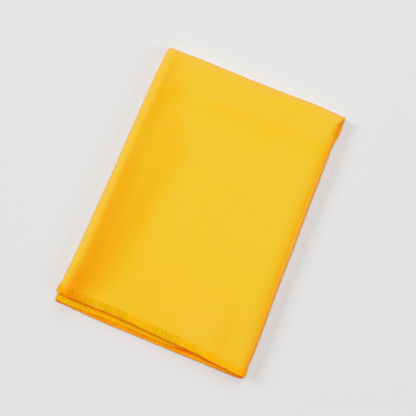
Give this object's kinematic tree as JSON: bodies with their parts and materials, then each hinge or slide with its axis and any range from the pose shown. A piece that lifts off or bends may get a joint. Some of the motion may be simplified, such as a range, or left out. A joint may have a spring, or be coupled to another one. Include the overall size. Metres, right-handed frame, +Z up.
{
  "type": "microfibre towel",
  "caption": "Folded square microfibre cleaning towel with overlocked edges, folded in thirds and then in half, lying flat ready to wipe or dry a surface.",
  "frame": {"origin": "middle of the folded towel's outline, on the surface that it lies on", "axes": "+Z up from the surface, +Y along the folded length from the overlocked hems to the crease at the back, +X across the face from the raised left fold to the right fold"},
  "size_m": [0.1408, 0.2, 0.013],
  "materials": {
    "microfibre": "matt yellow microfibre with a fine short nap and a soft sheen at grazing angles, edged with denser yellow overlock thread"
  },
  "bodies": {
    "root": {"towel": "microfibre"}
  },
  "joints": []
}
